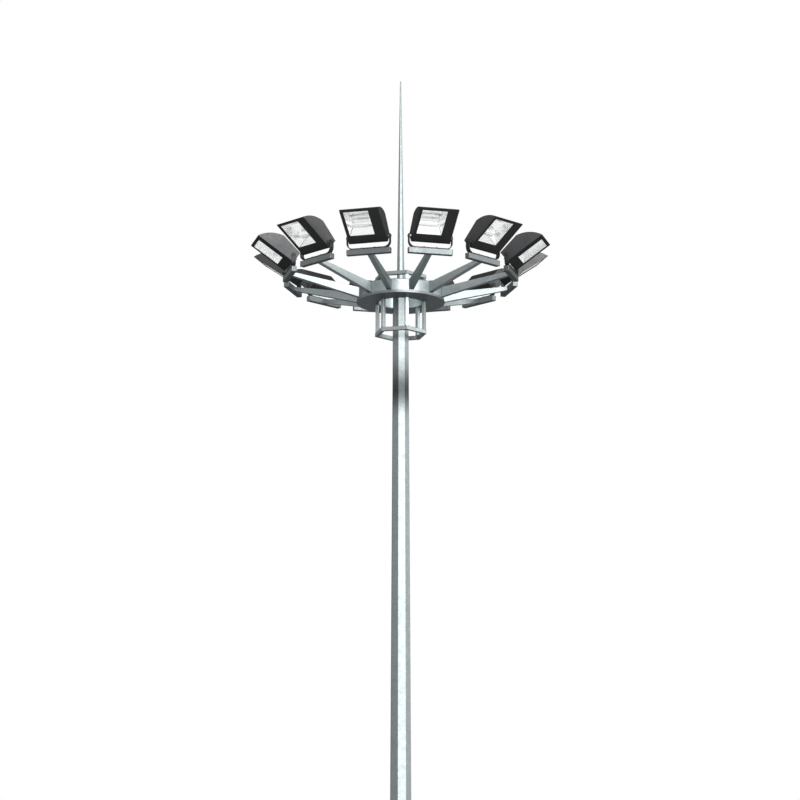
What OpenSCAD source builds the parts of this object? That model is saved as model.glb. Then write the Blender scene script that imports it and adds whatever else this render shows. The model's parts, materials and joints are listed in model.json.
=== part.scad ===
// High mast floodlight tower: an octagonal steel mast on a bolted base flange, a carriage that is
// hoisted to the mast's head with a ring of tilting floodlights, and a lightning spire on top.
// Millimetres, +Z up, origin at the centre of the base flange's underside.

/* [Mast] */
// Height of the tube's top above the underside of the base flange
mast_h = 20000; // [18000:100:24000]
// Across flats of the octagonal tube at its top
mast_top_af = 175; // [160:1:190]
// Across flats that the octagonal taper reaches at the underside of the base flange
mast_foot_af = 363; // [330:1:400]
// Wall of the upper tube section
upper_wall = 5; // [4:0.5:8]
// Wall of the lower tube section
lower_wall = 6; // [5:0.5:10]
// Height at which the upper section slips over the lower one
joint_z = 10000; // [8000:100:12000]
// Length over which the two sections lap
joint_lap = 450; // [350:10:700]
// Gap between the lapped sections
slip_gap = 0.3; // [0.1:0.1:0.5]

/* [Base] */
// Diameter of the base flange
flange_d = 640; // [600:10:760]
// Thickness of the base flange
flange_t = 30; // [20:1:50]
// Diameter of the anchor bolt circle
bolt_circle_d = 540; // [510:5:560]
// Diameter of an anchor bolt hole
bolt_hole_d = 36; // [24:1:42]
// Height of a base gusset
gusset_h = 220; // [120:10:320]
// Thickness of a base gusset
gusset_t = 12; // [8:1:20]
// Height of a gusset's outer end
gusset_toe = 20; // [10:1:40]
// Distance from a gusset's outer end to the flange's edge
gusset_margin = 12; // [5:1:20]

/* [Access door] */
// Height of the door's middle above the underside of the base flange
door_z = 850; // [700:10:1100]
// Width of the door plate
door_w = 132; // [110:1:136]
// Height of the door plate
door_h = 482; // [400:10:600]
// Thickness of the door plate
door_t = 4; // [3:0.5:6]
// Width by which the door plate covers the edge of its opening
door_lap = 16; // [10:1:25]

/* [Mast head and spire] */
// Thickness of the plate that closes the mast
cap_t = 12; // [8:1:20]
// Radius of the plate that closes the mast
cap_r = 118; // [105:1:130]
// Radius of the spire's foot flange
spire_flange_r = 85; // [65:1:95]
// Thickness of the spire's foot flange
spire_flange_t = 10; // [6:1:16]
// Across flats of the octagonal spire at its foot
spire_foot_af = 88; // [70:1:100]
// Across flats of the spire at its tip
spire_tip_af = 14; // [8:1:20]
// Wall of the spire
spire_wall = 3; // [2:0.5:4]
// Length of the spire
spire_h = 2557; // [1500:1:3000]
// Number of docking arms around the mast's head
dock_count = 4; // [4:4:8]
// Radius to which a docking arm reaches
dock_reach = 230; // [225:1:231]
// Thickness of a docking arm
dock_t = 12; // [8:1:20]
// Height of a docking arm at the mast
dock_h = 46; // [30:1:48]
// Height of a docking arm at its outer end
dock_nose = 18; // [10:1:25]
// Gap between the docking arms and the drum's top plate
dock_gap = 0.3; // [0.2:0.1:0.5]

/* [Drum] */
// Depth of the drum's top below the top of the mast tube
drum_drop = 50; // [48:1:70]
// Outer radius of the drum's wall
drum_r = 516; // [480:1:560]
// Height of the drum over its plates
drum_h = 170; // [150:1:220]
// Wall of the drum
drum_wall = 5; // [3:0.5:8]
// Thickness of the drum's top and bottom plates
drum_plate = 6; // [4:0.5:10]
// Inner radius of the drum's inner wall
drum_hole_r = 264; // [255:1:266]
// Radius of the hole in the drum's top plate
top_hole_r = 218; // [210:1:222]
// Height of the rim around the drum's bottom
rim_h = 30; // [20:1:50]
// Thickness of the rim around the drum's bottom
rim_t = 10; // [6:1:16]

/* [Guide cage] */
// Distance from the axis to an outer corner of the hexagonal guide rings
cage_r = 319; // [316:1:330]
// Radial thickness of a guide ring
cage_bar = 40; // [30:1:40]
// Height of a guide ring
cage_bar_h = 45; // [30:1:60]
// Side of a guide post
cage_post = 39; // [30:1:40]
// Length of the posts below the drum
lower_post_h = 350; // [250:5:450]
// Length of the posts above the drum
upper_post_h = 116; // [100:1:160]

/* [Arms and crossbars] */
// Width of an arm
arm_w = 58; // [40:1:70]
// Wall of an arm
arm_wall = 4; // [3:0.5:6]
// Height of an arm's lower edge above the drum's underside at the drum
arm_root_z = 40; // [36:1:45]
// Height of an arm at the drum
arm_root_h = 118; // [80:1:120]
// Height of an arm at its tip
arm_tip_h = 48; // [40:1:50]
// Radius of the crossbars' middle
crossbar_r = 1358; // [1340:1:1500]
// Height of the crossbars' middle above the drum's underside
crossbar_z = 268; // [230:1:300]
// Length of a crossbar
crossbar_l = 522; // [520:1:600]
// Height of a crossbar
crossbar_h = 64; // [56:1:72]
// Depth of a crossbar
crossbar_d = 60; // [50:1:70]
// Wall of a crossbar
crossbar_wall = 4; // [3:0.5:6]
// Thickness of the plates that close a crossbar's ends
end_cap_t = 4; // [2:0.5:6]

/* [Yokes] */
// Height of the tilt axis above the crossbar
yoke_h = 138; // [130:1:180]
// Width of the yoke's strap
yoke_strap_w = 54; // [40:1:60]
// Distance of the strap's middle outwards from the crossbar's middle
yoke_offset = 6; // [0:1:10]
// Length of the strap above the tilt axis
yoke_end = 25; // [20:1:30]
// Length by which the corners of the strap's end are cut off
yoke_corner = 10; // [4:1:15]
// Thickness of the yoke's strap
yoke_strap_t = 10; // [6:0.5:12]
// Outer bend radius of the yoke
yoke_bend_r = 75; // [40:1:76]
// Gap between the yoke and the floodlight's side
yoke_gap = 20; // [10:0.5:24]
// Radius of the tilt pin
pin_r = 12; // [8:0.5:16]
// Radial clearance of the tilt pin in the yoke
pin_clearance = 0.05; // [0.02:0.01:0.1]
// Radius of the boss around the tilt pin
boss_r = 22; // [18:1:26]
// Gap between the boss and the yoke
boss_gap = 0.3; // [0.1:0.1:0.5]
// Length of the tilt pin that stands out of the yoke
pin_end = 6; // [3:0.5:10]

/* [Floodlights] */
// Number of floodlights on the ring
lamp_count = 12; // [6:1:12]
// Angle of the floodlight's face above the horizontal
lamp_tilt = 34.5; // [30:0.5:40]
// Width of a floodlight
lamp_w = 460; // [440:1:470]
// Height of the floodlight's face
lamp_face_h = 504; // [495:1:525]
// Distance from the face's lower edge to the crown of the back
lamp_crown_u = 256; // [235:1:275]
// Depth of the floodlight at the crown of the back
lamp_crown_v = 190; // [180:1:200]
// Radius of the arc of the upper back
lamp_arc_r = 360; // [300:5:450]
// Slope of the lower back
lamp_back_slope = 11; // [6:1:14]
// Distance by which the heel stands below the face's lower edge
lamp_heel = 18; // [10:1:30]
// Wall of the floodlight's housing
lamp_wall = 4; // [3:0.5:5]
// Distance of the tilt axis from the face's lower edge
pivot_u = 33; // [25:1:40]
// Distance of the tilt axis behind the face
pivot_v = 64; // [55:1:90]
// Width of the window
window_w = 300; // [270:1:310]
// Height of the window
window_h = 353; // [315:1:360]
// Width of the frame beside the window on the narrow side
window_side = 35; // [25:1:45]
// Height of the frame below the window
window_bottom = 115; // [100:1:120]
// Thickness of the glass
glass_t = 5; // [4:0.5:6]
// Width by which the glass covers the edge of the window
glass_lap = 10; // [6:1:14]
// Depth of the reflector behind the glass
reflector_d = 110; // [80:1:120]
// Distance of the reflector's crease from the window's lower edge
reflector_crease = 104; // [90:1:140]
// Distance by which the reflector's ends lean inwards at its full depth
reflector_lean = 28; // [15:1:60]
// Thickness of the reflector's sheet
reflector_t = 2; // [1:0.5:3]
// Number of floodlights, from the first one on, that have their window on the other side
mirrored_count = 1; // [0:1:12]

/* [Fits] */
// Gap where a piece is set against a sloping or a round face
seat_gap = 0.05; // [0.02:0.01:0.1]

/* [Hidden] */
$fn = 96;

sides = 8;
cage_sides = 6;
reflector_steps = 8;
cut = 1;
half_flat = 180 / sides;
door_angle = 270 + half_flat;

drum_top = mast_h - drum_drop;
drum_z = drum_top - drum_h;
cage_in = cage_r * cos(180 / cage_sides) - cage_bar;
post_mid_r = cage_r - cage_post / 2 * tan(180 / cage_sides) - cage_post / 2;

crossbar_top = drum_z + crossbar_z + crossbar_h / 2;
pivot_z = crossbar_top + yoke_h;
pivot_r = crossbar_r + yoke_offset;
arm_tip_r = crossbar_r - crossbar_d / 2;
yoke_in = lamp_w / 2 + yoke_gap;
yoke_out = yoke_in + yoke_strap_t;
yoke_top = yoke_h + yoke_end;

function lamp_name(i) = str("floodlight_", i < 9 ? "0" : "", i + 1);

// Across flats of the tube sections at a height
function upper_af(z) = mast_top_af + (mast_foot_af - mast_top_af) * (mast_h - z) / mast_h;
function lower_af(z) = upper_af(z) - 2 * (upper_wall + slip_gap);

// Angle by which a flat of the mast leans inwards
mast_lean = atan((mast_foot_af - mast_top_af) / 2 / mast_h);

// A tapered octagonal bar with its flats across the given sizes at its two ends
module octagon_bar(z0, af0, z1, af1) {
    corner = 1 / cos(half_flat) / 2;
    translate([0, 0, z0])
        cylinder(h = z1 - z0, r1 = af0 * corner, r2 = af1 * corner, $fn = sides);
}

// Copies of a piece around the mast
module around(count, start = 0) {
    for (i = [0:count - 1])
        rotate([0, 0, start + i * 360 / count]) children();
}

// A plate that stands radially, drawn as radius and height
module radial_plate(thickness, points) {
    rotate([90, 0, 0])
        linear_extrude(thickness, center = true) polygon(points);
}

// Base

module base_flange() {
    color("silver") difference() {
        cylinder(h = flange_t, d = flange_d);
        around(sides)
            translate([bolt_circle_d / 2, 0, -cut])
                cylinder(h = flange_t + 2 * cut, d = bolt_hole_d);
    }
}

module base_gussets() {
    z1 = flange_t + gusset_h;
    r0 = lower_af(flange_t) / 2 + seat_gap;
    r1 = lower_af(z1) / 2 + seat_gap;
    r2 = flange_d / 2 - gusset_margin;
    color("silver") around(sides, half_flat)
        radial_plate(gusset_t, [
            [r0, flange_t], [r2, flange_t], [r2, flange_t + gusset_toe], [r1 + gusset_toe, z1], [r1, z1]
        ]);
}

// Mast

// A block centred on the mast's door flat, lying between two distances from it
module on_door_flat(from, to, width, height) {
    rotate([0, 0, door_angle])
        translate([lower_af(door_z) / 2, 0, door_z])
            rotate([0, -mast_lean, 0])
                translate([from, -width / 2, -height / 2]) cube([to - from, width, height]);
}

module mast_lower() {
    top = joint_z + joint_lap;
    color("lightgray") difference() {
        octagon_bar(flange_t, lower_af(flange_t), top, lower_af(top));
        octagon_bar(
            flange_t - cut, lower_af(flange_t - cut) - 2 * lower_wall,
            top + cut, lower_af(top + cut) - 2 * lower_wall
        );
        on_door_flat(-4 * lower_wall, lower_wall, door_w - 2 * door_lap, door_h - 2 * door_lap);
    }
}

module mast_upper() {
    color("lightgray") difference() {
        octagon_bar(joint_z, upper_af(joint_z), mast_h, mast_top_af);
        octagon_bar(
            joint_z - cut, upper_af(joint_z - cut) - 2 * upper_wall,
            mast_h + cut, upper_af(mast_h + cut) - 2 * upper_wall
        );
    }
}

module access_door() {
    color("gray") on_door_flat(seat_gap, seat_gap + door_t, door_w, door_h);
}

// Mast head and spire

module head_cap() {
    color("silver") translate([0, 0, mast_h]) cylinder(h = cap_t, r = cap_r);
}

module docking_arms() {
    z0 = drum_top + dock_gap;
    z1 = z0 + dock_h;
    color("silver") around(dock_count, half_flat)
        radial_plate(dock_t, [
            [upper_af(z0) / 2 + seat_gap, z0], [dock_reach, z0], [dock_reach, z0 + dock_nose],
            [cap_r, z1], [upper_af(z1) / 2 + seat_gap, z1]
        ]);
}

module spire_flange() {
    color("silver") translate([0, 0, mast_h + cap_t]) cylinder(h = spire_flange_t, r = spire_flange_r);
}

module spire() {
    z0 = mast_h + cap_t + spire_flange_t;
    bore_h = spire_h * (1 - (spire_tip_af + 2 * spire_wall) / spire_foot_af);
    color("lightgray") difference() {
        octagon_bar(z0, spire_foot_af, z0 + spire_h, spire_tip_af);
        octagon_bar(z0 - cut, spire_foot_af - 2 * spire_wall, z0 + bore_h, spire_tip_af / 2);
    }
}

// Drum

module drum_bottom_pan() {
    color("dimgray") translate([0, 0, drum_z]) rotate_extrude()
        polygon([
            [drum_hole_r, 0], [drum_r + rim_t, 0], [drum_r + rim_t, rim_h],
            [drum_r + seat_gap, rim_h], [drum_r + seat_gap, drum_plate], [drum_hole_r, drum_plate]
        ]);
}

// A round wall that stands between the drum's two plates
module drum_ring(inner_r, outer_r) {
    color("silver") translate([0, 0, drum_z + drum_plate]) difference() {
        cylinder(h = drum_h - 2 * drum_plate, r = outer_r);
        translate([0, 0, -cut]) cylinder(h = drum_h, r = inner_r);
    }
}

module drum_outer_wall() { drum_ring(drum_r - drum_wall, drum_r); }

module drum_inner_wall() { drum_ring(drum_hole_r, drum_hole_r + drum_wall); }

module drum_top_plate() {
    color("silver") translate([0, 0, drum_top - drum_plate]) difference() {
        cylinder(h = drum_plate, r = drum_r);
        translate([0, 0, -cut]) cylinder(h = drum_plate + 2 * cut, r = top_hole_r);
    }
}

// Guide cage

module guide_ring(z) {
    color("lightgray") translate([0, 0, z]) difference() {
        cylinder(h = cage_bar_h, r = cage_r, $fn = cage_sides);
        translate([0, 0, -cut])
            cylinder(h = cage_bar_h + 2 * cut, r = cage_in / cos(180 / cage_sides), $fn = cage_sides);
    }
}

module guide_posts(z, height) {
    color("lightgray") around(cage_sides)
        translate([post_mid_r - cage_post / 2, -cage_post / 2, z]) cube([cage_post, cage_post, height]);
}

module guide_ring_lower() { guide_ring(drum_z - lower_post_h - cage_bar_h); }

module guide_posts_lower() { guide_posts(drum_z - lower_post_h, lower_post_h); }

module guide_posts_upper() { guide_posts(drum_top, upper_post_h); }

module guide_ring_upper() { guide_ring(drum_top + upper_post_h); }

// Arms and crossbars

// A bar of the arm's tapered outline, with its edges moved inwards by a wall
module arm_bar(width, wall, r0, r1) {
    rise_low = (crossbar_z - arm_tip_h / 2 - arm_root_z) / (arm_tip_r - drum_r);
    rise_high = (crossbar_z + arm_tip_h / 2 - arm_root_z - arm_root_h) / (arm_tip_r - drum_r);
    low = [for (r = [r0, r1]) [r, drum_z + arm_root_z + wall + rise_low * (r - drum_r)]];
    high = [for (r = [r1, r0]) [r, drum_z + arm_root_z + arm_root_h - wall + rise_high * (r - drum_r)]];
    radial_plate(width, concat(low, high));
}

module arms() {
    inside_r = drum_r - arm_w / 2;
    color("lightgray") around(lamp_count) difference() {
        arm_bar(arm_w, 0, inside_r, arm_tip_r);
        arm_bar(arm_w - 2 * arm_wall, arm_wall, inside_r - cut, arm_tip_r + cut);
        translate([0, 0, drum_z]) cylinder(h = drum_h + crossbar_z, r = drum_r + seat_gap);
    }
}

// A tangential bar of rectangular section at the arm's tip
module crossbar_block(length, depth, height) {
    translate([crossbar_r - depth / 2, -length / 2, drum_z + crossbar_z - height / 2])
        cube([depth, length, height]);
}

module crossbars() {
    tube_l = crossbar_l - 2 * end_cap_t;
    color("lightgray") around(lamp_count) difference() {
        crossbar_block(tube_l, crossbar_d, crossbar_h);
        crossbar_block(tube_l + 2 * cut, crossbar_d - 2 * crossbar_wall, crossbar_h - 2 * crossbar_wall);
    }
}

module crossbar_ends() {
    color("gainsboro") around(lamp_count) difference() {
        crossbar_block(crossbar_l, crossbar_d, crossbar_h);
        crossbar_block(crossbar_l - 2 * end_cap_t, crossbar_d + 2 * cut, crossbar_h + 2 * cut);
    }
}

// Yokes

// The outline of a U with rounded corners, from its foot to the strap's ends
module yoke_outline(half, foot, top) {
    bend = yoke_bend_r - foot;
    translate([-half, yoke_bend_r]) square([2 * half, top - yoke_bend_r]);
    translate([-half + bend, foot]) square([2 * (half - bend), bend + cut]);
    for (side = [-1, 1])
        translate([side * (half - bend), yoke_bend_r]) circle(bend);
}

// The strap seen from its side, with the corners of its end cut off
module yoke_side_outline() {
    half = yoke_strap_w / 2;
    polygon([
        [-half, -cut], [half, -cut], [half, yoke_top - yoke_corner],
        [half - yoke_corner, yoke_top], [yoke_corner - half, yoke_top], [-half, yoke_top - yoke_corner]
    ]);
}

module yoke() {
    translate([pivot_r, 0, crossbar_top]) difference() {
        intersection() {
            rotate([90, 0, 90]) linear_extrude(yoke_strap_w + 2 * cut, center = true) difference() {
                yoke_outline(yoke_out, 0, yoke_top);
                yoke_outline(yoke_in, yoke_strap_t, yoke_top + cut);
            }
            rotate([90, 0, 0]) linear_extrude(2 * yoke_out + 2 * cut, center = true) yoke_side_outline();
        }
        translate([0, 0, yoke_h]) rotate([90, 0, 0])
            cylinder(h = 2 * yoke_out + 2 * cut, r = pin_r + pin_clearance, center = true);
    }
}

module yokes() {
    color("#222222") around(lamp_count) yoke();
}

// Floodlights

// Places a floodlight that is drawn with its face flat, its lower edge along Y and its back up
module lamp_place(i) {
    rotate([0, 0, i * 360 / lamp_count])
        translate([pivot_r, 0, pivot_z])
            rotate([0, -lamp_tilt, 0])
                translate([-pivot_u, 0, -pivot_v]) children();
}

// Turns an outline of height on the face and depth behind it into a bar along Y
module lamp_bar(y0, y1) {
    translate([0, y1, 0]) rotate([90, 0, 0]) linear_extrude(y1 - y0) children();
}

// The arc of the upper back runs from the crown to the face's upper edge
crown = [lamp_crown_u, lamp_crown_v];
to_edge = [lamp_face_h, 0] - crown;
arc_normal = [-to_edge.y, to_edge.x] / norm(to_edge);
arc_mid = crown + to_edge / 2 - arc_normal * sqrt(pow(lamp_arc_r, 2) - to_edge * to_edge / 4);
heel_depth = lamp_crown_v - (lamp_crown_u + lamp_heel) * tan(lamp_back_slope);

// The side outline of the housing, with all edges moved inwards by a wall
module lamp_outline(wall) {
    heel_run = lamp_heel / heel_depth;
    heel_shift = wall * norm([1, heel_run]);
    slope = tan(lamp_back_slope);
    back_v = lamp_crown_v - lamp_crown_u * slope - wall / cos(lamp_back_slope);
    heel_u = (heel_shift - heel_run * back_v) / (1 + heel_run * slope);
    far_u = arc_mid.x + lamp_arc_r;
    intersection() {
        polygon([
            [heel_shift - heel_run * wall, wall], [far_u, wall],
            [far_u, back_v + slope * far_u], [heel_u, back_v + slope * heel_u]
        ]);
        union() {
            translate(arc_mid) circle(lamp_arc_r - wall);
            translate([-lamp_arc_r, -lamp_crown_v]) square([far_u, 3 * lamp_crown_v]);
        }
    }
}

// Where a floodlight's window begins along the tilt axis
function window_start(i) =
    i < mirrored_count ? lamp_w / 2 - window_side - window_w : window_side - lamp_w / 2;

// A plate over the window, grown by a margin and lying between two depths behind the face
module window_plate(i, margin, v0, v1) {
    translate([window_bottom - margin, window_start(i) - margin, v0])
        cube([window_h + 2 * margin, window_w + 2 * margin, v1 - v0]);
}

module floodlight_housing(i) {
    boss_out = yoke_in - boss_gap;
    pin_out = yoke_out + pin_end;
    color("#2b2b2b") lamp_place(i) {
        difference() {
            lamp_bar(-lamp_w / 2, lamp_w / 2) lamp_outline(0);
            lamp_bar(lamp_wall - lamp_w / 2, lamp_w / 2 - lamp_wall) lamp_outline(lamp_wall);
            window_plate(i, 0, -cut, lamp_wall + cut);
        }
        for (side = [-1, 1])
            translate([pivot_u, side * lamp_w / 2, pivot_v]) rotate([-side * 90, 0, 0]) {
                cylinder(h = boss_out - lamp_w / 2, r = boss_r);
                cylinder(h = pin_out - lamp_w / 2, r = pin_r);
            }
    }
}

module floodlight_glass(i) {
    color("lightcyan") lamp_place(i) window_plate(i, glass_lap, lamp_wall, lamp_wall + glass_t);
}

// The reflector's trough: a curved upper panel, a straight lower one and two leaning ends
module reflector_trough(i, inset, mouth) {
    v0 = lamp_wall + glass_t;
    v1 = v0 + reflector_d - inset;
    y0 = window_start(i) + inset;
    y1 = y0 + window_w - 2 * inset;
    u0 = window_bottom + inset;
    u1 = window_bottom + window_h - inset;
    crease = window_bottom + reflector_crease;
    upper = [for (k = [0:reflector_steps])
        let (turn = 90 * k / reflector_steps)
            [crease + (u1 - crease) * cos(turn), v0 + (v1 - v0) * sin(turn)]];
    ends = [[y1, v0], [y1 - reflector_lean, v1], [y0 + reflector_lean, v1]];
    intersection() {
        lamp_bar(y0, y1)
            polygon(concat([[u0, v0]], mouth > 0 ? [[u0, v0 - mouth], [u1, v0 - mouth]] : [], upper));
        rotate([90, 0, 90]) linear_extrude(lamp_face_h)
            polygon(concat([[y0, v0]], mouth > 0 ? [[y0, v0 - mouth], [y1, v0 - mouth]] : [], ends));
    }
}

module floodlight_reflector(i) {
    color("white") lamp_place(i) difference() {
        reflector_trough(i, 0, 0);
        reflector_trough(i, reflector_t, cut);
    }
}

base_flange();
base_gussets();
mast_lower();
mast_upper();
access_door();
head_cap();
docking_arms();
spire_flange();
spire();
drum_bottom_pan();
drum_outer_wall();
drum_inner_wall();
drum_top_plate();
guide_ring_lower();
guide_posts_lower();
guide_posts_upper();
guide_ring_upper();
arms();
crossbars();
crossbar_ends();
yokes();
for (i = [0:lamp_count - 1]) {
    floodlight_housing(i);
    floodlight_glass(i);
    floodlight_reflector(i);
}
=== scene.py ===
"""Materials, small hardware, studio and camera for the high mast floodlight tower."""
import json
import math

import bmesh
import bpy
from mathutils import Matrix, Vector

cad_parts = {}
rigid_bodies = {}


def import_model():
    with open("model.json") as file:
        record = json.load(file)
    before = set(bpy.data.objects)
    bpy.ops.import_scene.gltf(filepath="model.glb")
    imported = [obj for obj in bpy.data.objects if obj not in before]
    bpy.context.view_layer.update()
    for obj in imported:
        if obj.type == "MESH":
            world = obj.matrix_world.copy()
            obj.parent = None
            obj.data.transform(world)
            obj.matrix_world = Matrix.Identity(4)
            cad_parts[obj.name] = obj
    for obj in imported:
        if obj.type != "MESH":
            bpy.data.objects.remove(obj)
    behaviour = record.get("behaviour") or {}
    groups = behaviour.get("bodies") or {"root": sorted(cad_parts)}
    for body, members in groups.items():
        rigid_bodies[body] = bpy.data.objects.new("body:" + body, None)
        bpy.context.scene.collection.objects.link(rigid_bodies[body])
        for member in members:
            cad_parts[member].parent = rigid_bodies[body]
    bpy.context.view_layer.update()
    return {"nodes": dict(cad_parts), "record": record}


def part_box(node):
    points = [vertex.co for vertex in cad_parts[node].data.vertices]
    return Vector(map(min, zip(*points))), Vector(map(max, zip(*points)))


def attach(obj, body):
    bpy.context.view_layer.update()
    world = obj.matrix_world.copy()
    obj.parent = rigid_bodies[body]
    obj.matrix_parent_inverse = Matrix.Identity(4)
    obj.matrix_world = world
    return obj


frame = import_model()
nodes = frame["nodes"]

# Sizes of the solids that carry the hardware, in metres, as the part's source has them
MAST_H = 20.0
MAST_TOP_AF = 0.175
MAST_FOOT_AF = 0.363
UPPER_WALL = 0.005
SLIP_GAP = 0.0003
JOINT_Z = 10.0
SIDES = 8
HALF_FLAT = math.pi / SIDES

FLANGE_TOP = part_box("base_flange")[1].z
FLANGE_R = 0.320
BOLT_CIRCLE_R = 0.270
ANCHOR_R = 0.0165
ANCHOR_OUT = 0.105
ANCHOR_PITCH = 0.0035
ANCHOR_WASHER_T = 0.006
ANCHOR_NUT_AF = 0.050
ANCHOR_NUT_H = 0.027
LOCK_NUT_H = 0.018
GUSSET_H = 0.220
GUSSET_T = 0.012
GUSSET_R = FLANGE_R - 0.012

DOOR_Z = 0.850
DOOR_W = 0.132
DOOR_H = 0.482
DOOR_FACE = 0.00405
DOOR_ANGLE = -math.pi / 2 + HALF_FLAT
DOOR_SCREW_R = 0.005
DOOR_SCREW_IN = 0.016
HINGE_Z = 0.17
LOCK_IN = 0.028
EARTH_Z = 0.42

CAP_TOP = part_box("head_cap")[1].z
SPIRE_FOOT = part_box("spire")[0].z
SPIRE_FOOT_AF = 0.088
HEAD_BOLTS = 8
CAP_BOLT_R, CAP_BOLT_AF = 0.102, 0.017
SPIRE_BOLT_R, SPIRE_BOLT_AF = 0.067, 0.015

DRUM_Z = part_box("drum_bottom_pan")[0].z
DRUM_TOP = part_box("drum_top_plate")[1].z
DRUM_R = 0.516
DRUM_BOLT_R, DRUM_BOLT_AF = 0.488, 0.016
CAGE_SIDES = 6
CAGE_POST = 0.039
CAGE_POST_R = 0.28824
LOWER_POST_H = 0.350
UPPER_POST_H = 0.116

LAMPS = 12
ARM_W = 0.058
ARM_ROOT = (0.040, 0.158)
ARM_TIP = (0.244, 0.292)
CROSSBAR_IN_R = 1.328
CROSSBAR_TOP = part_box("crossbars")[1].z

YOKE_T = 0.010
YOKE_H = 0.138
YOKE_IN = 0.250
YOKE_OUT = 0.260
YOKE_BOLT_Y, YOKE_BOLT_AF = 0.075, 0.019
PIVOT_R = 1.364
PIVOT_Z = CROSSBAR_TOP + YOKE_H

LAMP_TILT = math.radians(34.5)
LAMP_W = 0.460
FACE_H = 0.504
HEEL_U = -0.018
HEEL_V = 0.1367
PIVOT_U = 0.033
PIVOT_V = 0.064
WINDOW_W = 0.300
WINDOW_H = 0.353
WINDOW_U = 0.115
WINDOW_Y = 0.035 - LAMP_W / 2
GLASS_V = 0.004
SCREW_R = 0.0045
COVER_SCREWS = ((0.021, 0.118), (0.119, 0.146), (0.300, 0.155), (0.420, 0.086), (0.462, 0.018),
                (0.129, 0.018))


# Mesh building

def ring(radius, z, sides=24, turn=0.0):
    """Points of a regular polygon about Z."""
    steps = [turn + 2 * math.pi * k / sides for k in range(sides)]
    return [Vector((radius * math.cos(a), radius * math.sin(a), z)) for a in steps]


def hex_ring(across_flats, z):
    return ring(across_flats / math.sqrt(3), z, 6)


def skin(bm, rings, at=Matrix.Identity(4), loop=False):
    """Faces between rings of equal count, closed by caps or, for a loop, onto the first ring."""
    made = [[bm.verts.new(at @ p) for p in points] for points in rings]
    pairs = list(zip(made, made[1:])) + ([(made[-1], made[0])] if loop else [])
    for low, high in pairs:
        count = len(low)
        for k in range(count):
            n = (k + 1) % count
            bm.faces.new((low[k], low[n], high[n], high[k]))
    if not loop:
        bm.faces.new(reversed(made[0]))
        bm.faces.new(made[-1])


def lathe(bm, profile, at=Matrix.Identity(4), sides=24):
    """A turned solid about Z from pairs of radius and height."""
    skin(bm, [ring(r, z, sides) for r, z in profile], at)


def washer(bm, at, radius, thickness):
    edge = 0.15 * thickness
    lathe(bm, [(radius - edge, 0), (radius, edge), (radius, thickness - edge),
               (radius - edge, thickness)], at)


def hex_head(bm, at, across_flats, height):
    """A hexagon with its upper corners chamfered."""
    skin(bm, [hex_ring(across_flats, 0), hex_ring(across_flats, 0.82 * height),
              hex_ring(0.9 * across_flats, height)], at)


def hex_bolt(bm, at, across_flats):
    """A bolt head on its washer, seated at the matrix and standing along its Z."""
    washer(bm, at, 0.62 * across_flats, 0.12 * across_flats)
    hex_head(bm, at @ Matrix.Translation((0, 0, 0.12 * across_flats)), across_flats, 0.62 * across_flats)


def screw(bm, at, radius):
    """A pan head with a cross slot's dimple, seated at the matrix."""
    outline = ((1.0, 0.0), (1.0, 0.35), (0.8, 0.7), (0.4, 0.8), (0.3, 0.45))
    lathe(bm, [(r * radius, z * radius) for r, z in outline], at, 14)


def stud(bm, at, radius, length, pitch):
    """A threaded rod with a chamfered end."""
    profile = []
    for k in range(int(length / pitch)):
        profile += [(radius, k * pitch), (radius, (k + 0.3) * pitch), (0.88 * radius, (k + 0.7) * pitch)]
    profile += [(0.88 * radius, length), (0.7 * radius, length + 0.3 * radius)]
    lathe(bm, profile, at, 16)


def samples(points, spacing, closed):
    """Points along a polyline at about equal spacing."""
    ends = points[1:] + (points[:1] if closed else [])
    found = []
    for a, b in zip(points, ends):
        count = max(1, round((b - a).length / spacing))
        found += [a.lerp(b, k / count) for k in range(count)]
    return found if closed else found + [points[-1]]


def bead(bm, points, size, closed=True, spacing=None):
    """A weld bead along a polyline, with the ripples of its run."""
    path = samples(points, spacing or 1.1 * size, closed)
    count = len(path)
    rings = []
    for k, p in enumerate(path):
        ahead = path[(k + 1) % count] if closed or k + 1 < count else p
        behind = path[k - 1] if closed or k else p
        along = (ahead - behind).normalized()
        side = along.cross(Vector((0.31, 0.43, 0.85))).normalized()
        up = side.cross(along)
        wide = size * (1.0 + 0.14 * math.sin(2.4 * k) + 0.07 * math.sin(0.37 * k))
        rings.append([p + wide * (math.cos(t) * side + math.sin(t) * up)
                      for t in [2 * math.pi * j / 7 for j in range(7)]])
    skin(bm, rings, loop=closed)


def turned(angle):
    return Matrix.Rotation(angle, 4, "Z")


def moved(x, y, z):
    return Matrix.Translation((x, y, z))


def upright(axis):
    """A turn that takes Z to an axis."""
    return Vector(axis).to_track_quat("Z", "Y").to_matrix().to_4x4()


def to_mesh(name, build, crease=35, hand=1):
    """A mesh made by a function, shaded smooth up to an angle, and mirrored along Y for the hand -1."""
    bm = bmesh.new()
    build(bm)
    for vertex in bm.verts:
        vertex.co.y *= hand
    bmesh.ops.recalc_face_normals(bm, faces=bm.faces)
    mesh = bpy.data.meshes.new(name)
    bm.to_mesh(mesh)
    bm.free()
    mesh.shade_smooth()
    mesh.set_sharp_from_angle(angle=math.radians(crease))
    return mesh


def piece(name, mesh, body, material, at=Matrix.Identity(4)):
    """An object that rides on a body, with its material."""
    obj = bpy.data.objects.new(name, mesh)
    bpy.context.scene.collection.objects.link(obj)
    obj.matrix_world = at
    if not mesh.materials:
        mesh.materials.append(material)
    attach(obj, body)
    return obj


# Materials

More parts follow.
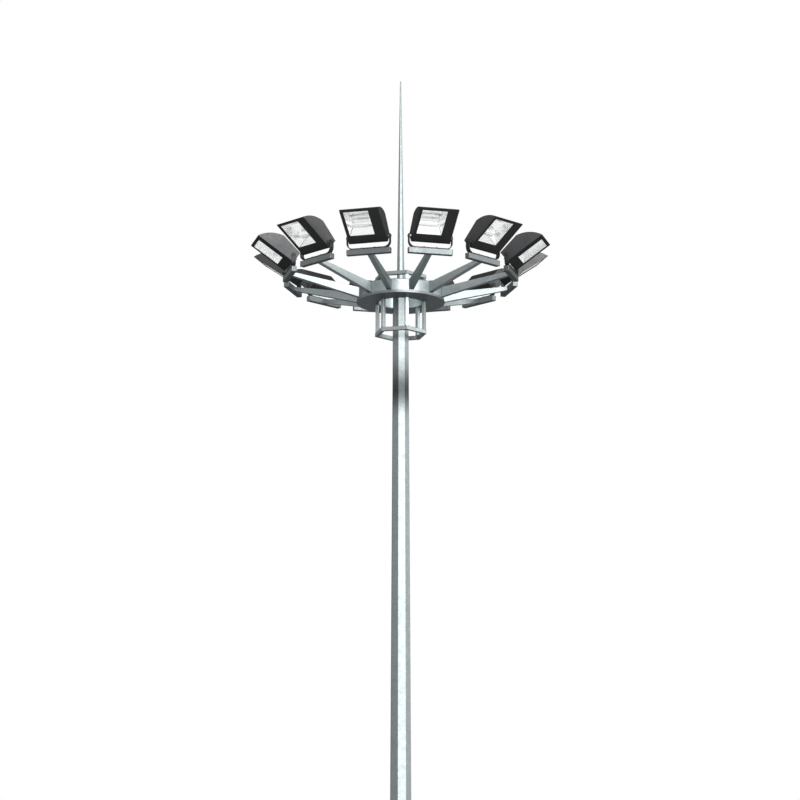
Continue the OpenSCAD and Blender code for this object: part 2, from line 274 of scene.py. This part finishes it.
class Shader:
    """A Principled material that is built node by node in the object's own coordinates."""

    def __init__(self, name, **constants):
        self.material = bpy.data.materials.new(name)
        self.material.use_nodes = True
        self.tree = self.material.node_tree
        self.bsdf = self.tree.nodes["Principled BSDF"]
        self.place = self.node("ShaderNodeTexCoord").outputs["Object"]
        for socket, value in constants.items():
            self.bsdf.inputs[socket.replace("_", " ")].default_value = value

    def node(self, kind, **settings):
        made = self.tree.nodes.new(kind)
        for key, value in settings.items():
            setattr(made, key, value)
        return made

    def link(self, output, target):
        self.tree.links.new(output, target)

    def stretched(self, scale):
        """The coordinates, scaled along each axis."""
        mapping = self.node("ShaderNodeMapping")
        mapping.inputs["Scale"].default_value = scale
        self.link(self.place, mapping.inputs["Vector"])
        return mapping.outputs["Vector"]

    def noise(self, scale, detail=3.0, place=None, roughness=0.55):
        made = self.node("ShaderNodeTexNoise")
        made.inputs["Scale"].default_value = scale
        made.inputs["Detail"].default_value = detail
        made.inputs["Roughness"].default_value = roughness
        self.link(place or self.place, made.inputs["Vector"])
        return made.outputs["Fac"]

    def cells(self, scale):
        """A random value for each cell of a mosaic."""
        made = self.node("ShaderNodeTexVoronoi")
        made.inputs["Scale"].default_value = scale
        self.link(self.place, made.inputs["Vector"])
        split = self.node("ShaderNodeSeparateColor")
        self.link(made.outputs["Color"], split.inputs["Color"])
        return split.outputs["Red"]

    def mix(self, factor, low, high):
        """A value that goes from one number to the other with a factor."""
        made = self.node("ShaderNodeMapRange")
        made.inputs["From Min"].default_value = 0.25
        made.inputs["From Max"].default_value = 0.75
        made.inputs["To Min"].default_value = low
        made.inputs["To Max"].default_value = high
        self.link(factor, made.inputs["Value"])
        return made.outputs["Result"]

    def blend(self, factor, low, high):
        """A colour that goes from one colour or output to another with a factor."""
        made = self.node("ShaderNodeMix", data_type="RGBA")
        self.link(factor, made.inputs["Factor"])
        for socket, value in ((made.inputs[6], low), (made.inputs[7], high)):
            if isinstance(value, tuple):
                socket.default_value = (*value, 1)
            else:
                self.link(value, socket)
        return made.outputs[2]

    def band(self, low, middle, high):
        """A soft mask that is full at a height and fades to nothing above and below it."""
        split = self.node("ShaderNodeSeparateXYZ")
        self.link(self.place, split.inputs[0])
        sides = []
        for start in (low, high):
            made = self.node("ShaderNodeMapRange", interpolation_type="SMOOTHSTEP")
            made.inputs["From Min"].default_value = start
            made.inputs["From Max"].default_value = middle
            self.link(split.outputs["Z"], made.inputs["Value"])
            sides.append(made.outputs["Result"])
        both = self.node("ShaderNodeMath", operation="MINIMUM")
        self.link(sides[0], both.inputs[0])
        self.link(sides[1], both.inputs[1])
        return both.outputs[0]

    def upright_faces(self):
        """A mask that is full on faces that stand upright in the object's own axes."""
        split = self.node("ShaderNodeSeparateXYZ")
        self.link(self.place.node.outputs["Normal"], split.inputs[0])
        level = self.node("ShaderNodeMath", operation="ABSOLUTE")
        self.link(split.outputs["Z"], level.inputs[0])
        made = self.node("ShaderNodeMapRange")
        made.inputs["From Min"].default_value = 0.3
        made.inputs["From Max"].default_value = 0.1
        self.link(level.outputs[0], made.inputs["Value"])
        return made.outputs["Result"]

    def colour(self, output):
        self.link(output, self.bsdf.inputs["Base Color"])

    def roughness(self, output):
        self.link(output, self.bsdf.inputs["Roughness"])

    def bump(self, output, strength, distance, edge_radius=0.0):
        """A relief on the surface, with the solid's edges rounded to a radius."""
        made = self.node("ShaderNodeBump")
        made.inputs["Strength"].default_value = strength
        made.inputs["Distance"].default_value = distance
        if edge_radius:
            rounded = self.node("ShaderNodeBevel", samples=6)
            rounded.inputs["Radius"].default_value = edge_radius
            self.link(rounded.outputs["Normal"], made.inputs["Normal"])
        self.link(output, made.inputs["Height"])
        self.link(made.outputs["Normal"], self.bsdf.inputs["Normal"])


DULL_EDGE = (0.38, 0.40, 0.41, 1)
PAINTED_SHADE_DEPTH = 0.25
ZINC_TONES = ((0.19, 0.215, 0.22), (0.222, 0.247, 0.252), (0.252, 0.279, 0.284), (0.28, 0.305, 0.308))


def galvanised_steel(name, painted_light_tone=1.0, edge=0.4, painted_shade_band=None):
    """Dull zinc: spangle of crystals, faint rain streaks and a fine tooth, scaled lighter or darker by a
    painted light tone, with an optional band of painted shade at a height.
    """
    s = Shader(name, Metallic=1.0, Specular_Tint=(edge, edge, edge, 1))
    spangle = s.cells(48)
    streaks = s.noise(1.0, 4, s.stretched((34, 34, 0.9)))
    cloud = s.noise(3.2, 4)
    # painted light: every zinc colour is scaled by a tone that makes a part lighter or darker in place of how
    # it is lit
    dull, plain, clean, bright = [tuple(painted_light_tone * c for c in colour) for colour in ZINC_TONES]
    zinc = s.blend(s.mix(spangle, 0, 1), plain, clean)
    weathered = s.blend(s.mix(streaks, 0, 0.35), zinc, dull)
    colour_with_painted_light = s.blend(s.mix(cloud, 0, 0.3), weathered, bright)
    # painted shade: an optional dark band at a height, darkening the zinc where shade falls on the mast
    if painted_shade_band:
        colour_with_painted_light = s.blend(s.band(*painted_shade_band), colour_with_painted_light, tuple(PAINTED_SHADE_DEPTH * c for c in dull))
    s.colour(colour_with_painted_light)
    s.roughness(s.mix(s.noise(14, 5), 0.36, 0.47))
    s.bump(s.noise(260, 3), 0.08, 0.0006, 0.007)
    return s.material


def weld_metal():
    """The zinc over a weld: darker, rougher and lumpier than the plate."""
    s = Shader("weld_metal", Metallic=1.0, Specular_Tint=DULL_EDGE)
    s.colour(s.blend(s.mix(s.noise(60, 4), 0, 1), (0.14, 0.155, 0.16), (0.21, 0.23, 0.235)))
    s.roughness(s.mix(s.noise(90, 3), 0.42, 0.60))
    s.bump(s.noise(420, 4), 0.3, 0.001)
    return s.material


def zinc_plate():
    """Bright plated fasteners with a little white bloom."""
    s = Shader("zinc_plate", Metallic=1.0, Specular_Tint=DULL_EDGE)
    bloom = s.noise(130, 5)
    s.colour(s.blend(s.mix(bloom, 0, 1), (0.32, 0.34, 0.34), (0.44, 0.45, 0.445)))
    s.roughness(s.mix(s.noise(220, 3), 0.28, 0.46))
    s.bump(s.noise(900, 2), 0.12, 0.0004)
    return s.material


def black_paint(name, upright_painted_light=1.0):
    """Powder coat: near black, with an orange-peel skin and a film of dust; its upright sides can be painted
    paler, as painted light.
    """
    s = Shader(name, Metallic=0.8, Specular_Tint=(0.2, 0.2, 0.2, 1))
    dust = s.mix(s.noise(6, 5), 0, 1)
    thin, thick = (0.047, 0.0475, 0.049), (0.060, 0.0605, 0.062)
    paint = s.blend(dust, thin, thick)
    # painted light: upright sides made paler to stand in for the light they catch
    if upright_painted_light != 1.0:
        painted_lit_upright = s.blend(dust, *[tuple(upright_painted_light * c for c in colour) for colour in (thin, thick)])
        paint = s.blend(s.upright_faces(), paint, painted_lit_upright)
    s.colour(paint)
    s.roughness(s.mix(s.noise(22, 4), 0.42, 0.52))
    s.bump(s.noise(700, 2), 0.07, 0.0006, 0.004)
    return s.material


def rubber():
    s = Shader("rubber", Specular_IOR_Level=0.3)
    s.colour(s.blend(s.mix(s.noise(80, 4), 0, 1), (0.010, 0.010, 0.0105), (0.022, 0.022, 0.022)))
    s.roughness(s.mix(s.noise(160, 3), 0.62, 0.80))
    s.bump(s.noise(1400, 2), 0.2, 0.0004)
    return s.material


def window_glass():
    """Toughened glass with a trace of green and the fine satin of dried rain."""
    s = Shader("window_glass", Transmission_Weight=1.0, IOR=1.25)
    s.colour(s.blend(s.mix(s.noise(9, 5), 0, 1), (0.98, 0.99, 0.985), (0.995, 1.0, 0.998)))
    s.roughness(s.mix(s.noise(30, 6), 0.15, 0.18))
    return s.material


def reflector_sheet():
    """Bright anodised sheet, a little uneven in its sheen."""
    s = Shader("reflector_sheet", Metallic=1.0)
    s.colour(s.blend(s.mix(s.noise(18, 4), 0, 1), (0.975, 0.978, 0.98), (0.995, 0.995, 0.995)))
    s.roughness(s.mix(s.noise(40, 3), 0.10, 0.13))
    return s.material


def coated_bulb():
    """The bulb's white powder coat under its glass."""
    s = Shader("coated_bulb", Coat_Weight=0.5, Coat_Roughness=0.05)
    s.colour(s.blend(s.mix(s.noise(40, 3), 0, 1), (0.93, 0.935, 0.93), (0.97, 0.97, 0.965)))
    s.roughness(s.mix(s.noise(70, 3), 0.35, 0.5))
    return s.material


def ceramic():
    s = Shader("ceramic")
    s.colour(s.blend(s.mix(s.noise(55, 4), 0, 1), (0.86, 0.85, 0.82), (0.93, 0.92, 0.90)))
    s.roughness(s.mix(s.noise(120, 3), 0.42, 0.6))
    s.bump(s.noise(600, 2), 0.1, 0.0005)
    return s.material


STEEL = galvanised_steel("galvanised_steel")
# the upper mast's zinc with a band of painted shade below the carriage
MAST_STEEL = galvanised_steel("mast_steel", painted_shade_band=(18.31, 18.70, 19.22))
# Lit and shaded copies of the zinc: each tone paints a part lighter or darker to stand in for light and shade
BAR_STEEL = galvanised_steel("crossbar_steel", painted_light_tone=0.66)
ARM_STEEL = galvanised_steel("arm_steel", painted_light_tone=1.45, edge=0.22)
WALL_STEEL = galvanised_steel("wall_steel", painted_light_tone=1.65, edge=0.22)
RING_STEEL = galvanised_steel("ring_steel", painted_light_tone=1.35, edge=0.3)
LINER_STEEL = galvanised_steel("liner_steel", painted_light_tone=2.7)
WELD = weld_metal()
ZINC = zinc_plate()
BLACK = black_paint("black_paint")
# the housings' paint, with their upright sides painted paler as painted light
HOUSING_PAINT = black_paint("housing_paint", upright_painted_light=1.5)
RUBBER = rubber()
GLASS = window_glass()
REFLECTOR = reflector_sheet()
BULB_COAT = coated_bulb()
CERAMIC = ceramic()

BY_SLOT = {"galvanised_steel": STEEL, "black_paint": BLACK, "window_glass": GLASS,
           "reflector_sheet": REFLECTOR}
BY_NODE = {"crossbars": BAR_STEEL, "crossbar_ends": BAR_STEEL, "drum_inner_wall": LINER_STEEL,
           "arms": ARM_STEEL, "drum_outer_wall": WALL_STEEL, "guide_ring_lower": RING_STEEL,
           "guide_posts_lower": WALL_STEEL, "guide_posts_upper": WALL_STEEL, "guide_ring_upper": RING_STEEL,
           "mast_upper": MAST_STEEL}
for part in frame["record"]["subparts"]:
    mesh = nodes[part["node"]].data
    mesh.materials.clear()
    look = BY_NODE.get(part["node"]) or BY_SLOT[part["material_slot"]]
    mesh.materials.append(HOUSING_PAINT if part["node"].endswith("_housing") else look)


# The foot of the mast

def upper_af(z):
    """Across flats of the upper tube's taper at a height."""
    return MAST_TOP_AF + (MAST_FOOT_AF - MAST_TOP_AF) * (MAST_H - z) / MAST_H


def lower_af(z):
    return upper_af(z) - 2 * (UPPER_WALL + SLIP_GAP)


def octagon(across_flats, z):
    return ring(across_flats / 2 / math.cos(HALF_FLAT), z, SIDES)


def anchor_bolts(bm):
    """Anchor rods that stand out of the flange, each with a plate washer, a nut and a lock nut."""
    for k in range(SIDES):
        at = turned(2 * math.pi * k / SIDES) @ moved(BOLT_CIRCLE_R, 0, 0) @ turned(0.3 * k)
        nut_z = FLANGE_TOP + ANCHOR_WASHER_T
        stud(bm, at @ moved(0, 0, 0.002), ANCHOR_R, FLANGE_TOP + ANCHOR_OUT, ANCHOR_PITCH)
        washer(bm, at @ moved(0, 0, FLANGE_TOP), 0.036, ANCHOR_WASHER_T)
        hex_head(bm, at @ moved(0, 0, nut_z), ANCHOR_NUT_AF, ANCHOR_NUT_H)
        hex_head(bm, at @ moved(0, 0, nut_z + ANCHOR_NUT_H + 0.0005) @ turned(0.4), ANCHOR_NUT_AF, LOCK_NUT_H)


def foot_welds(bm):
    """Fillets round the tube's foot and along the gussets."""
    bead(bm, octagon(lower_af(FLANGE_TOP) + 0.005, FLANGE_TOP + 0.0025), 0.005)
    r0 = lower_af(FLANGE_TOP) / 2
    r1 = lower_af(FLANGE_TOP + GUSSET_H) / 2
    for k in range(SIDES):
        at = turned(HALF_FLAT + 2 * math.pi * k / SIDES)
        for side in (-1, 1):
            y = side * (GUSSET_T / 2 + 0.001)
            run = [(r1 + 0.001, y, FLANGE_TOP + GUSSET_H - 0.004), (r0 + 0.001, y, FLANGE_TOP + 0.006),
                   (r0 + 0.008, y, FLANGE_TOP + 0.001), (GUSSET_R - 0.004, y, FLANGE_TOP + 0.001)]
            bead(bm, [at @ Vector(p) for p in run], 0.0036, closed=False)


def door_place():
    """The middle of the door's outer face, with X pointing out of the mast and Z up it."""
    lean = math.atan((MAST_FOOT_AF - MAST_TOP_AF) / 2 / MAST_H)
    return (turned(DOOR_ANGLE) @ moved(lower_af(DOOR_Z) / 2, 0, DOOR_Z) @ Matrix.Rotation(-lean, 4, "Y")
            @ moved(DOOR_FACE, 0, 0))


def door_hardware(bm):
    """Hinge barrels, a lock with a sunk key, and the screws of the door's frame."""
    face = door_place()
    out = Matrix.Rotation(math.pi / 2, 4, "Y")
    for z in (-HINGE_Z, HINGE_Z):
        for k in range(3):
            barrel = face @ moved(0.004, DOOR_W / 2 + 0.004, z - 0.033 + 0.022 * k)
            lathe(bm, [(0.0055, 0.0005), (0.006, 0.001), (0.006, 0.0205), (0.0055, 0.021)], barrel, 16)
        for dz in (-0.02, 0.02):
            screw(bm, face @ moved(0, DOOR_W / 2 - 0.014, z + dz) @ out, DOOR_SCREW_R)
    lock = face @ moved(0, -DOOR_W / 2 + LOCK_IN, 0) @ out
    lathe(bm, [(0.017, 0), (0.017, 0.003), (0.014, 0.005), (0.010, 0.005), (0.009, 0.002)], lock, 32)
    skin(bm, [ring(0.006, 0, 3), ring(0.006, 0.007, 3), ring(0.004, 0.008, 3)], lock)
    for z in (-DOOR_H / 2 + DOOR_SCREW_IN, DOOR_H / 2 - DOOR_SCREW_IN):
        for y in (-DOOR_W / 2 + DOOR_SCREW_IN, DOOR_W / 2 - DOOR_SCREW_IN):
            screw(bm, face @ moved(0, y, z) @ out, DOOR_SCREW_R)


def earth_stud(bm):
    """The earthing bolt above the flange, on a welded pad."""
    angle = DOOR_ANGLE + math.pi / 2
    at = turned(angle) @ moved(lower_af(EARTH_Z) / 2, 0, EARTH_Z) @ Matrix.Rotation(math.pi / 2, 4, "Y")
    lathe(bm, [(0.022, -0.001), (0.022, 0.011), (0.020, 0.013)], at, 28)
    hex_bolt(bm, at @ moved(0, 0, 0.013), 0.019)


def tube_seams(bm):
    """The long weld of each tube section, on the side away from the door, and the lap's sealant."""
    angle = DOOR_ANGLE + math.pi
    for low, high, size_at in ((FLANGE_TOP + 0.02, JOINT_Z - 0.01, lower_af),
                               (JOINT_Z + 0.01, MAST_H - 0.01, upper_af)):
        run = [turned(angle) @ Vector((size_at(z) / 2, 0, z)) for z in (low, high)]
        bead(bm, run, 0.0022, closed=False, spacing=0.02)
    bead(bm, octagon(lower_af(JOINT_Z) + 0.003, JOINT_Z - 0.0015), 0.0025)


piece("anchor_bolts", to_mesh("anchor_bolts", anchor_bolts), "mast", ZINC)
piece("foot_welds", to_mesh("foot_welds", foot_welds, 60), "mast", WELD)
piece("door_hardware", to_mesh("door_hardware", door_hardware), "mast", ZINC)
piece("earth_stud", to_mesh("earth_stud", earth_stud), "mast", ZINC)
piece("tube_seams", to_mesh("tube_seams", tube_seams, 60), "mast", WELD)


# The mast's head

def head_bolts(bm):
    """Bolts of the mast's cap and of the spire's flange."""
    for k in range(HEAD_BOLTS):
        at = turned(2 * math.pi * k / HEAD_BOLTS)
        hex_bolt(bm, at @ moved(CAP_BOLT_R, 0, CAP_TOP), CAP_BOLT_AF)
        hex_bolt(bm, at @ turned(HALF_FLAT) @ moved(SPIRE_BOLT_R, 0, SPIRE_FOOT), SPIRE_BOLT_AF)


def spire_weld(bm):
    bead(bm, octagon(SPIRE_FOOT_AF + 0.003, SPIRE_FOOT + 0.0015), 0.0032)


piece("head_bolts", to_mesh("head_bolts", head_bolts), "mast", ZINC)
piece("spire_weld", to_mesh("spire_weld", spire_weld, 60), "mast", WELD)


# The carriage

def box_outline(half, low, high, x):
    """The corners of an upright rectangle across a radius."""
    return [Vector((x, y, z)) for y, z in ((-half, low), (half, low), (half, high), (-half, high))]


def arm_welds(bm):
    """Fillets where each arm meets the drum's wall and its crossbar."""
    for k in range(LAMPS):
        at = turned(2 * math.pi * k / LAMPS)
        root = box_outline(ARM_W / 2 + 0.001, DRUM_Z + ARM_ROOT[0], DRUM_Z + ARM_ROOT[1], DRUM_R + 0.001)
        tip = box_outline(ARM_W / 2 + 0.001, DRUM_Z + ARM_TIP[0], DRUM_Z + ARM_TIP[1], CROSSBAR_IN_R - 0.001)
        bead(bm, [at @ p for p in root], 0.0036)
        bead(bm, [at @ p for p in tip], 0.0032)


def post_outline(z, k):
    """The corners of a cage post at a height."""
    half = CAGE_POST / 2 + 0.0005
    at = turned(2 * math.pi * k / CAGE_SIDES)
    return [at @ Vector((CAGE_POST_R + x, y, z)) for x, y in
            ((-half, -half), (half, -half), (half, half), (-half, half))]


def cage_welds(bm):
    """Fillets at both ends of each post of the guide cage."""
    heights = (DRUM_Z - LOWER_POST_H + 0.001, DRUM_Z - 0.001, DRUM_TOP + 0.001,
               DRUM_TOP + UPPER_POST_H - 0.001)
    for z in heights:
        for k in range(CAGE_SIDES):
            bead(bm, post_outline(z, k), 0.0028)


def drum_bolts(bm):
    """Bolts round the drum's top plate."""
    count = 2 * LAMPS
    for k in range(count):
        at = turned(2 * math.pi * (k + 0.5) / count) @ moved(DRUM_BOLT_R, 0, DRUM_TOP)
        hex_bolt(bm, at, DRUM_BOLT_AF)


def yoke_bolts(bm):
    """The two bolts that hold each yoke's foot on its crossbar."""
    for k in range(LAMPS):
        for y in (-YOKE_BOLT_Y, YOKE_BOLT_Y):
            at = turned(2 * math.pi * k / LAMPS) @ moved(PIVOT_R, y, CROSSBAR_TOP + YOKE_T)
            hex_bolt(bm, at, YOKE_BOLT_AF)


piece("arm_welds", to_mesh("arm_welds", arm_welds, 60), "carriage", WELD)
piece("cage_welds", to_mesh("cage_welds", cage_welds, 60), "carriage", WELD)
piece("drum_bolts", to_mesh("drum_bolts", drum_bolts), "carriage", ZINC)
piece("yoke_bolts", to_mesh("yoke_bolts", yoke_bolts), "carriage", ZINC)


# The floodlights: drawn with X up the face, Y along the tilt axis and Z behind the face

def lamp_place(k):
    """Where a floodlight's own axes lie on the ring."""
    return (turned(2 * math.pi * k / LAMPS) @ moved(PIVOT_R, 0, PIVOT_Z) @ Matrix.Rotation(-LAMP_TILT, 4, "Y")
            @ moved(-PIVOT_U, 0, -PIVOT_V))


def pivot_sleeves(bm):
    """On each side a steel spacer over the boss, between the lamp and its yoke."""
    for side in (-1, 1):
        at = moved(PIVOT_U, 0, PIVOT_V) @ upright((0, side, 0))
        lathe(bm, [(0.0235, LAMP_W / 2), (0.0245, LAMP_W / 2 + 0.001), (0.0245, YOKE_IN - 0.0015),
                   (0.0235, YOKE_IN - 0.0006)], at, 32)


def pivot_heads(bm):
    """The washer and the low head of each pivot bolt, outside the yoke."""
    for side in (-1, 1):
        at = moved(PIVOT_U, 0, PIVOT_V) @ upright((0, side, 0)) @ moved(0, 0, YOKE_OUT + 0.0004)
        washer(bm, at, 0.019, 0.002)
        hex_head(bm, at @ moved(0, 0, 0.002), 0.024, 0.0065)


def gasket(bm):
    """The seal that shows between the window's edge and the glass."""
    width, low, high = 0.004, 0.0012, GLASS_V
    corners = []
    top, far = WINDOW_U + WINDOW_H, WINDOW_Y + WINDOW_W
    for u, y, su, sy in ((WINDOW_U, WINDOW_Y, 1, 1), (WINDOW_U, far, 1, -1), (top, far, -1, -1),
                         (top, WINDOW_Y, -1, 1)):
        corners.append([Vector((u + su * d, y + sy * d, v)) for d, v in
                        ((0, low), (0.6 * width, low), (width, high), (0, high))])
    skin(bm, corners, loop=True)


def face_screws(bm):
    """Screws of the window frame and of the side covers."""
    out = upright((0, 0, -1))
    left, right = -LAMP_W / 2 + 0.014, LAMP_W / 2 - 0.020
    for u in (0.020, 0.5 * FACE_H, FACE_H - 0.014):
        for y in (left, right):
            screw(bm, moved(u, y, 0) @ out, SCREW_R)
    for u in (0.020, FACE_H - 0.014):
        screw(bm, moved(u, WINDOW_Y + WINDOW_W, 0) @ out, SCREW_R)
    for side in (-1, 1):
        cover = upright((0, side, 0))
        for u, v in COVER_SCREWS:
            screw(bm, moved(u, side * LAMP_W / 2, v) @ cover, SCREW_R)


def breather(bm):
    """The vent plug in the heel, on the gear side."""
    normal = Vector((-HEEL_V, 0, HEEL_U)).normalized()
    at = moved(0.62 * HEEL_U, 0.125, 0.62 * HEEL_V) @ upright(normal)
    hex_head(bm, at, 0.022, 0.006)
    lathe(bm, [(0.0095, 0.006), (0.0095, 0.014), (0.008, 0.017), (0.003, 0.0185)], at, 20)


LAMP_AXIS = (0.218, WINDOW_Y + WINDOW_W / 2, 0.060)
BULB_L = 0.190


def bulb(bm):
    """A double-ended bulb with its arc chamber."""
    at = moved(*LAMP_AXIS) @ upright((0, 1, 0)) @ moved(0, 0, -BULB_L / 2)
    lathe(bm, [(0.0045, 0), (0.0055, 0.012), (0.011, 0.030), (0.0125, 0.045), (0.0125, BULB_L - 0.045),
               (0.011, BULB_L - 0.030), (0.0055, BULB_L - 0.012), (0.0045, BULB_L)], at, 24)


def holders(bm):
    """The ceramic holders at the bulb's ends, each on a bracket from the reflector's end."""
    for side in (-1, 1):
        at = moved(*LAMP_AXIS) @ upright((0, side, 0)) @ moved(0, 0, BULB_L / 2 - 0.010)
        lathe(bm, [(0.0075, 0), (0.009, 0.0015), (0.009, 0.018), (0.0075, 0.0195), (0.0035, 0.020),
                   (0.0035, 0.032)], at, 20)


def lamp_meshes(hand):
    """The meshes of a floodlight's pieces, with its window on one side or on the other."""
    return {"sleeves": to_mesh("pivot_sleeves", pivot_sleeves, hand=hand),
            "pivot_heads": to_mesh("pivot_heads", pivot_heads, hand=hand),
            "gasket": to_mesh("gasket", gasket, hand=hand),
            "screws": to_mesh("face_screws", face_screws, hand=hand),
            "breather": to_mesh("breather", breather, hand=hand),
            "bulb": to_mesh("bulb", bulb, 60, hand),
            "holders": to_mesh("holders", holders, hand=hand)}


LAMP_LOOKS = {"sleeves": ("galvanised_steel", ZINC), "pivot_heads": ("black_paint", BLACK),
              "gasket": ("black_paint", RUBBER), "screws": ("black_paint", BLACK),
              "breather": ("black_paint", RUBBER), "bulb": ("window_glass", BULB_COAT),
              "holders": ("reflector_sheet", CERAMIC)}
MIRRORED = 1  # floodlight_01 alone has its window on the other side
usual_meshes, mirrored_meshes = lamp_meshes(1), lamp_meshes(-1)
for k in range(LAMPS):
    body = "floodlight_%02d" % (k + 1)
    meshes = mirrored_meshes if k < MIRRORED else usual_meshes
    for kind, (slot, material) in LAMP_LOOKS.items():
        piece(body + "_" + kind, meshes[kind], body, material, lamp_place(k))


# Studio

FLOOR_R = 900.0
FLOOR_HUB_R = 0.5
FLOOR_T = 0.02
FLOOR_DROP = 0.002
LAMP_DISTANCE = 60
FOOT_NODES = ("base_flange", "base_gussets", "mast_lower", "access_door")
INSIDE_LAMP = ("_reflector", "_bulb", "_holders")


def floor_disc(bm):
    """A wide disc that the tower stands on."""
    lathe(bm, [(FLOOR_HUB_R, -FLOOR_T), (FLOOR_R, -FLOOR_T), (FLOOR_R, 0.0), (FLOOR_HUB_R, 0.0)], sides=128)


def floor_material():
    s = Shader("studio_floor")
    s.colour(s.blend(s.mix(s.noise(0.4, 4), 0, 1), (0.65, 0.65, 0.65), (0.68, 0.68, 0.68)))
    s.roughness(s.mix(s.noise(2.0, 3), 0.85, 0.95))
    return s.material


floor = bpy.data.objects.new("studio_floor", to_mesh("studio_floor", floor_disc))
bpy.context.scene.collection.objects.link(floor)
floor.location.z = -FLOOR_DROP
floor.data.materials.append(floor_material())
floor.visible_transmission = False  # the windows show the white backdrop instead


def studio_world():
    """A white backdrop for the camera, gloss and glass, and a soft dim light from it elsewhere."""
    world = bpy.data.worlds.new("studio")
    world.use_nodes = True
    tree = world.node_tree
    tree.nodes.clear()
    path = tree.nodes.new("ShaderNodeLightPath")
    seen = path.outputs["Is Camera Ray"]
    for name in ("Is Glossy Ray", "Is Transmission Ray"):
        either = tree.nodes.new("ShaderNodeMath")
        either.operation = "MAXIMUM"
        tree.links.new(seen, either.inputs[0])
        tree.links.new(path.outputs[name], either.inputs[1])
        seen = either.outputs[0]
    soft = tree.nodes.new("ShaderNodeBackground")
    soft.inputs["Color"].default_value = (0.94, 0.97, 1.0, 1)
    soft.inputs["Strength"].default_value = 0.3
    white = tree.nodes.new("ShaderNodeBackground")
    white.inputs["Color"].default_value = (1, 1, 1, 1)
    white.inputs["Strength"].default_value = 1.0
    mix = tree.nodes.new("ShaderNodeMixShader")
    out = tree.nodes.new("ShaderNodeOutputWorld")
    tree.links.new(seen, mix.inputs[0])
    tree.links.new(soft.outputs[0], mix.inputs[1])
    tree.links.new(white.outputs[0], mix.inputs[2])
    tree.links.new(mix.outputs[0], out.inputs["Surface"])
    bpy.context.scene.world = world


def soft_lamp(name, azimuth, elevation, spread, strength):
    """A wide, distant studio light, given by the direction that it comes from in degrees."""
    data = bpy.data.lights.new(name, "SUN")
    data.angle = math.radians(spread)
    data.energy = strength
    lamp = bpy.data.objects.new(name, data)
    bpy.context.scene.collection.objects.link(lamp)
    a, e = math.radians(azimuth), math.radians(elevation)
    towards = Vector((math.cos(a) * math.cos(e), math.sin(a) * math.cos(e), math.sin(e)))
    lamp.location = towards * LAMP_DISTANCE
    lamp.rotation_mode = "QUATERNION"
    lamp.rotation_quaternion = towards.to_track_quat("Z", "Y")
    lamp.visible_transmission = False
    return lamp


def light_group(name, names, state):
    """A collection that a light's linking reads, with each object taken in or left out."""
    group = bpy.data.collections.new(name)
    for each in names:
        group.objects.link(bpy.data.objects[each])
    for entry in group.collection_objects:
        entry.light_linking.link_state = state
    return group


studio_world()
key = soft_lamp("key", azimuth=-54, elevation=10, spread=46, strength=2.8)
# In the photo nothing on the carriage shades its neighbours, so the key's shadow comes from the foot alone
key.light_linking.blocker_collection = light_group("key_casters", FOOT_NODES, "INCLUDE")
inside = [name for name in bpy.data.objects.keys() if name.endswith(INSIDE_LAMP)]
key.light_linking.receiver_collection = light_group("key_leaves_out", inside, "EXCLUDE")
soft_lamp("fill", azimuth=8, elevation=14, spread=55, strength=1.1)


# Camera: 28 m from the drum's top, 15 degrees below it, looking up past the carriage

CAMERA_DISTANCE = 28.0
CAMERA_AZIMUTH = math.radians(15.55)
CAMERA_ELEVATION = math.radians(-15.0)
LOOKS_AT_Z = 18.595
AXIS_SHIFT = 0.0078

camera = bpy.data.objects.new("camera", bpy.data.cameras.new("camera"))
bpy.context.scene.collection.objects.link(camera)
back = Vector((math.sin(CAMERA_AZIMUTH) * math.cos(CAMERA_ELEVATION),
               -math.cos(CAMERA_AZIMUTH) * math.cos(CAMERA_ELEVATION), math.sin(CAMERA_ELEVATION)))
right = Vector((math.cos(CAMERA_AZIMUTH), math.sin(CAMERA_AZIMUTH), 0))
camera.location = Vector((0, 0, DRUM_TOP - 0.005)) + back * CAMERA_DISTANCE
aim = Vector((0, 0, LOOKS_AT_Z)) - right * AXIS_SHIFT
camera.rotation_mode = "QUATERNION"
camera.rotation_quaternion = (aim - camera.location).to_track_quat("-Z", "Y")
camera.data.sensor_width = 36.0
camera.data.lens = 105.0
camera.data.clip_end = 2000.0
bpy.context.scene.camera = camera
bpy.context.scene.view_settings.view_transform = "Standard"
